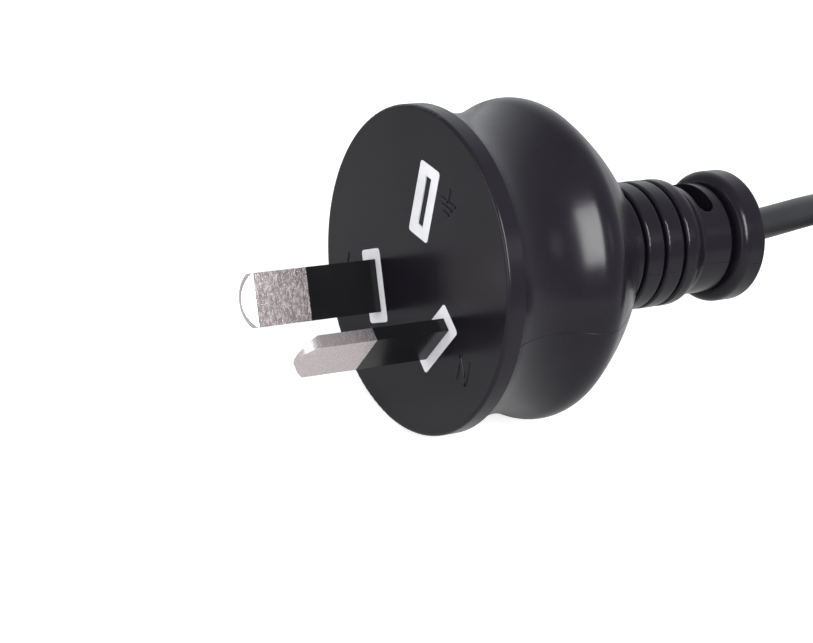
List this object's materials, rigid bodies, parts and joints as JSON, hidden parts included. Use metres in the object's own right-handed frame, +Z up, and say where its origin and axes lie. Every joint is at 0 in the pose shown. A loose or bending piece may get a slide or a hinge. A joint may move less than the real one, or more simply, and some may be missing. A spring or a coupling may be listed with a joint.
{
  "type": "type i plug",
  "caption": "Round moulded two-pin type I mains plug with sleeved flat pins at an angle, ribbed strain relief and a cord wound in a tied coil.",
  "frame": {"origin": "on the floor, below the middle of the plug's length from pin tips to collar, the plug lying on its side", "axes": "+Z up, from the pins towards the empty third site; the pins point along -X and the cord leaves along +X"},
  "size_m": [0.161, 0.063, 0.0388],
  "materials": {
    "black_pvc": "moulded black PVC, satin, very fine grain",
    "white_plastic": "rigid white moulding, smooth satin",
    "plated_brass": "nickel-plated brass, stamped, dull with fine grain",
    "black_sleeve": "black insulating sleeve moulded on the pin, smooth",
    "copper": "bare stranded copper",
    "brown_pvc": "brown PVC core insulation",
    "blue_pvc": "light blue PVC core insulation",
    "cord_pvc": "black flexible PVC sheath, satin",
    "tie_plastic": "black flat tie",
    "tinned_copper": "tinned copper strands"
  },
  "bodies": {
    "root": {"plug_body": "black_pvc", "pin_bridge": "white_plastic", "active_pin": "plated_brass", "neutral_pin": "plated_brass", "active_pin_sleeve": "black_sleeve", "neutral_pin_sleeve": "black_sleeve", "active_conductor": "copper", "neutral_conductor": "copper", "active_core": "brown_pvc", "neutral_core": "blue_pvc", "cord_sheath_end": "cord_pvc", "cord": "cord_pvc", "cord_coil": "cord_pvc", "coil_tie": "tie_plastic", "far_active_core": "brown_pvc", "far_neutral_core": "blue_pvc", "far_active_tip": "tinned_copper", "far_neutral_tip": "tinned_copper"}
  },
  "joints": []
}
